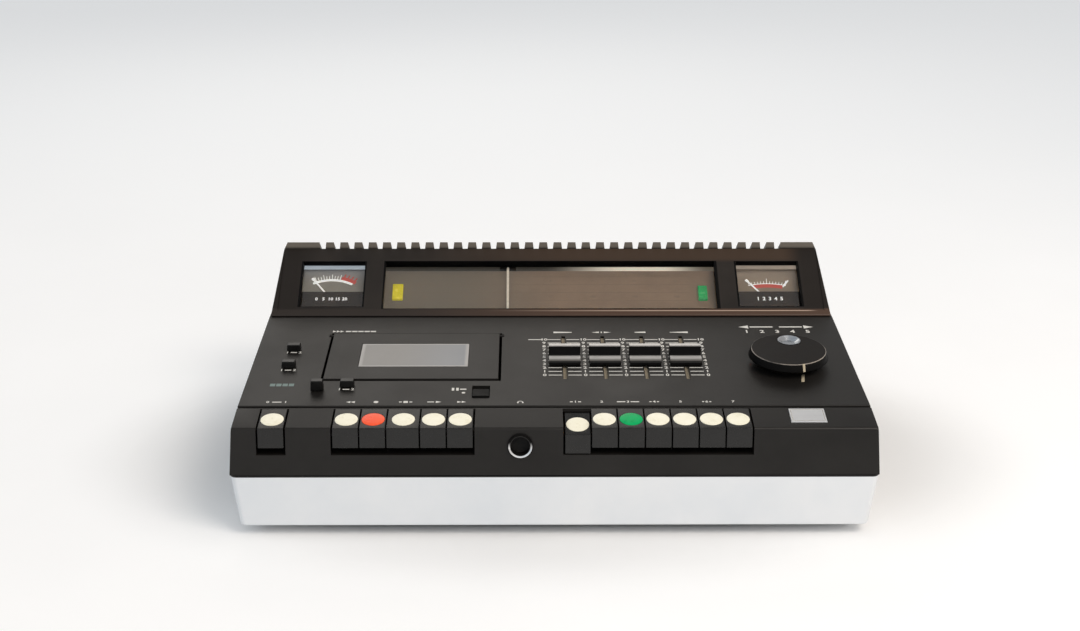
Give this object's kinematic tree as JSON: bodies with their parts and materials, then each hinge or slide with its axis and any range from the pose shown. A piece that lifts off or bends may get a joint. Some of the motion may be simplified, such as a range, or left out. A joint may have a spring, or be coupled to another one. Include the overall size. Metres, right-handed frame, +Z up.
{
  "type": "cassette deck",
  "caption": "Table-top radio cassette deck: sloping black top with lid, sliders, round tuning knob, a row of front keys, a tilted dial with meters, and a silver base tray.",
  "frame": {"origin": "on the surface under the feet, under the middle of the deck's box", "axes": "+X to the right across the deck, +Y from the keys to the rear, +Z up"},
  "size_m": [0.48, 0.31, 0.145],
  "materials": {
    "black_shell": "fine moulded texture",
    "black_key": "satin",
    "silver_paint": "satin silver paint",
    "grey_cover": "matt",
    "rubber_foot": "matt",
    "rubber_drive": "matt",
    "clear_pane": "clear",
    "grey_window": "smoked",
    "dial_print": "printed",
    "meter_face": "printed",
    "pointer_plastic": "plain",
    "bright_metal": "bright",
    "plain_steel": "plain",
    "aluminium_plate": "brushed",
    "board": "plain"
  },
  "bodies": {
    "case": {"base_tray": "silver_paint", "bottom_cover": "grey_cover", "foot_front_left": "rubber_foot", "foot_front_right": "rubber_foot", "foot_rear_left": "rubber_foot", "foot_rear_right": "rubber_foot", "front_bezel": "black_shell", "deck_key_rod": "plain_steel", "band_key_rod": "plain_steel", "phone_socket": "bright_metal", "badge_plate": "aluminium_plate", "deck_panel": "black_shell", "cassette_well": "black_shell", "motor": "plain_steel", "drive_belt": "rubber_drive", "main_board": "board", "transformer": "plain_steel", "slider_bank": "board", "dial_housing": "black_shell", "dial_glass": "clear_pane", "dial_scale": "dial_print", "left_meter": "meter_face", "right_meter": "meter_face", "rear_cover": "black_shell"},
    "power_key": {"power_key": "black_key"},
    "rewind_key": {"rewind_key": "black_key"},
    "record_key": {"record_key": "black_key"},
    "stop_key": {"stop_key": "black_key"},
    "start_key": {"start_key": "black_key"},
    "forward_key": {"forward_key": "black_key"},
    "band_key_1": {"band_key_1": "black_key"},
    "band_key_2": {"band_key_2": "black_key"},
    "band_key_3": {"band_key_3": "black_key"},
    "band_key_4": {"band_key_4": "black_key"},
    "band_key_5": {"band_key_5": "black_key"},
    "band_key_6": {"band_key_6": "black_key"},
    "band_key_7": {"band_key_7": "black_key"},
    "cassette_lid": {"cassette_lid": "black_shell", "lid_window": "grey_window"},
    "supply_spindle": {"supply_spindle": "black_key"},
    "takeup_spindle": {"takeup_spindle": "black_key"},
    "head_bridge": {"head_bridge": "plain_steel"},
    "pinch_roller": {"pinch_roller": "rubber_drive"},
    "capstan": {"capstan_flywheel": "plain_steel"},
    "motor_pulley": {"motor_pulley": "plain_steel"},
    "slider_knob_1": {"slider_knob_1": "black_shell"},
    "slider_knob_2": {"slider_knob_2": "black_shell"},
    "slider_knob_3": {"slider_knob_3": "black_shell"},
    "slider_knob_4": {"slider_knob_4": "black_shell"},
    "tuning_knob": {"tuning_knob": "black_shell", "knob_dish": "bright_metal", "tuning_shaft": "plain_steel"},
    "dial_pointer": {"dial_pointer": "pointer_plastic"},
    "left_needle": {"left_needle": "pointer_plastic"},
    "right_needle": {"right_needle": "pointer_plastic"},
    "mode_switch": {"mode_switch": "black_key"},
    "filter_switch": {"filter_switch": "black_key"},
    "counter_switch": {"counter_switch": "black_key"},
    "eject_slide": {"eject_slide": "black_key"},
    "pause_slide": {"pause_slide": "black_key"}
  },
  "joints": [
    {"name": "power_key_press", "type": "hinge", "parent": "case", "child": "power_key", "pos_m": [-0.2088, -0.0905, 0.08], "axis": [1, 0, 0], "range_deg": [0, 4.8], "stiffness_Nm_per_rad": 0.1, "springref_deg": -5.73},
    {"name": "rewind_key_press", "type": "hinge", "parent": "case", "child": "rewind_key", "pos_m": [-0.1541, -0.0905, 0.08], "axis": [1, 0, 0], "range_deg": [0, 4.8], "stiffness_Nm_per_rad": 0.1, "springref_deg": -5.73},
    {"name": "record_key_press", "type": "hinge", "parent": "case", "child": "record_key", "pos_m": [-0.1343, -0.0905, 0.08], "axis": [1, 0, 0], "range_deg": [0, 4.8], "stiffness_Nm_per_rad": 0.1, "springref_deg": -5.73},
    {"name": "stop_key_press", "type": "hinge", "parent": "case", "child": "stop_key", "pos_m": [-0.11205, -0.0905, 0.08], "axis": [1, 0, 0], "range_deg": [0, 4.8], "stiffness_Nm_per_rad": 0.1, "springref_deg": -5.73},
    {"name": "start_key_press", "type": "hinge", "parent": "case", "child": "start_key", "pos_m": [-0.0898, -0.0905, 0.08], "axis": [1, 0, 0], "range_deg": [0, 4.8], "stiffness_Nm_per_rad": 0.1, "springref_deg": -5.73},
    {"name": "forward_key_press", "type": "hinge", "parent": "case", "child": "forward_key", "pos_m": [-0.07, -0.0905, 0.08], "axis": [1, 0, 0], "range_deg": [0, 4.8], "stiffness_Nm_per_rad": 0.1, "springref_deg": -5.73},
    {"name": "band_key_1_press", "type": "hinge", "parent": "case", "child": "band_key_1", "pos_m": [0.0167, -0.0905, 0.08], "axis": [1, 0, 0], "range_deg": [-4.8, 0]},
    {"name": "band_key_2_press", "type": "hinge", "parent": "case", "child": "band_key_2", "pos_m": [0.0365, -0.0905, 0.08], "axis": [1, 0, 0], "range_deg": [0, 4.8], "stiffness_Nm_per_rad": 0.1, "springref_deg": -5.73},
    {"name": "band_key_3_press", "type": "hinge", "parent": "case", "child": "band_key_3", "pos_m": [0.0563, -0.0905, 0.08], "axis": [1, 0, 0], "range_deg": [0, 4.8], "stiffness_Nm_per_rad": 0.1, "springref_deg": -5.73},
    {"name": "band_key_4_press", "type": "hinge", "parent": "case", "child": "band_key_4", "pos_m": [0.0761, -0.0905, 0.08], "axis": [1, 0, 0], "range_deg": [0, 4.8], "stiffness_Nm_per_rad": 0.1, "springref_deg": -5.73},
    {"name": "band_key_5_press", "type": "hinge", "parent": "case", "child": "band_key_5", "pos_m": [0.0959, -0.0905, 0.08], "axis": [1, 0, 0], "range_deg": [0, 4.8], "stiffness_Nm_per_rad": 0.1, "springref_deg": -5.73},
    {"name": "band_key_6_press", "type": "hinge", "parent": "case", "child": "band_key_6", "pos_m": [0.1157, -0.0905, 0.08], "axis": [1, 0, 0], "range_deg": [0, 4.8], "stiffness_Nm_per_rad": 0.1, "springref_deg": -5.73},
    {"name": "band_key_7_press", "type": "hinge", "parent": "case", "child": "band_key_7", "pos_m": [0.1355, -0.0905, 0.08], "axis": [1, 0, 0], "range_deg": [0, 4.8], "stiffness_Nm_per_rad": 0.1, "springref_deg": -5.73},
    {"name": "lid_hinge", "type": "hinge", "parent": "case", "child": "cassette_lid", "pos_m": [-0.1106, 0.01061, 0.09768], "axis": [-1, 0, 0], "range_deg": [0, 70]},
    {"name": "supply_spindle_spin", "type": "hinge", "parent": "case", "child": "supply_spindle", "pos_m": [-0.13185, -0.02761, 0.06895], "axis": [0, -0.0571, 0.9984], "continuous": true},
    {"name": "takeup_spindle_spin", "type": "hinge", "parent": "case", "child": "takeup_spindle", "pos_m": [-0.08935, -0.02761, 0.06895], "axis": [0, -0.0571, 0.9984], "continuous": true},
    {"name": "head_bridge_slide", "type": "slide", "parent": "case", "child": "head_bridge", "axis": [0, 0.9984, 0.0571], "range_m": [0, 0.004]},
    {"name": "pinch_roller_spin", "type": "hinge", "parent": "head_bridge", "child": "pinch_roller", "pos_m": [-0.0776, -0.06715, 0.06669], "axis": [0, -0.0571, 0.9984], "continuous": true},
    {"name": "capstan_spin", "type": "hinge", "parent": "case", "child": "capstan", "pos_m": [-0.0776, -0.05766, 0.06723], "axis": [0, -0.0571, 0.9984], "continuous": true},
    {"name": "motor_pulley_spin", "type": "hinge", "parent": "case", "child": "motor_pulley", "pos_m": [-0.16, -0.00868, 0.06202], "axis": [0, -0.0571, 0.9984], "continuous": true},
    {"name": "slider_1_slide", "type": "slide", "parent": "case", "child": "slider_knob_1", "axis": [0, 0.9984, 0.0571], "range_m": [-0.0258, 0.0419]},
    {"name": "slider_2_slide", "type": "slide", "parent": "case", "child": "slider_knob_2", "axis": [0, 0.9984, 0.0571], "range_m": [-0.0258, 0.0419]},
    {"name": "slider_3_slide", "type": "slide", "parent": "case", "child": "slider_knob_3", "axis": [0, 0.9984, 0.0571], "range_m": [-0.0258, 0.0419]},
    {"name": "slider_4_slide", "type": "slide", "parent": "case", "child": "slider_knob_4", "axis": [0, 0.9984, 0.0571], "range_m": [-0.0258, 0.0419]},
    {"name": "tuning_turn", "type": "hinge", "parent": "case", "child": "tuning_knob", "pos_m": [0.1856, -0.04412, 0.09495], "axis": [0, -0.0571, 0.9984], "range_deg": [-470, 260]},
    {"name": "pointer_slide", "type": "slide", "parent": "case", "child": "dial_pointer", "axis": [1, 0, 0], "range_m": [-0.0912, 0.1648]},
    {"name": "left_needle_swing", "type": "hinge", "parent": "case", "child": "left_needle", "pos_m": [-0.1863, 0.07651, 0.10403], "axis": [0, -0.5044, 0.8635], "range_deg": [-74, 0], "stiffness_Nm_per_rad": 0.0005, "springref_deg": 11.46},
    {"name": "right_needle_swing", "type": "hinge", "parent": "case", "child": "right_needle", "pos_m": [0.1863, 0.07651, 0.10403], "axis": [0, -0.5044, 0.8635], "range_deg": [-74, 0], "stiffness_Nm_per_rad": 0.0005, "springref_deg": 11.46},
    {"name": "mode_switch_slide", "type": "slide", "parent": "case", "child": "mode_switch", "axis": [0, 0.9984, 0.0571], "range_m": [0, 0.005]},
    {"name": "filter_switch_slide", "type": "slide", "parent": "case", "child": "filter_switch", "axis": [0, 0.9984, 0.0571], "range_m": [0, 0.005]},
    {"name": "counter_switch_slide", "type": "slide", "parent": "case", "child": "counter_switch", "axis": [0, 0.9984, 0.0571], "range_m": [0, 0.005]},
    {"name": "eject_slide_slide", "type": "slide", "parent": "case", "child": "eject_slide", "axis": [0, 0.9984, 0.0571], "range_m": [0, 0.005], "stiffness_N_per_m": 40, "springref_m": -0.003},
    {"name": "pause_slide_slide", "type": "slide", "parent": "case", "child": "pause_slide", "axis": [0, 0.9984, 0.0571], "range_m": [0, 0.0075]}
  ],
  "couplings": [
    {"joint": "pointer_slide", "follows": "tuning_turn", "m_per_rad": -0.02},
    {"joint": "motor_pulley_spin", "follows": "capstan_spin", "ratio": 4.8},
    {"joint": "head_bridge_slide", "follows": "start_key_press", "m_per_rad": 0.04775}
  ]
}
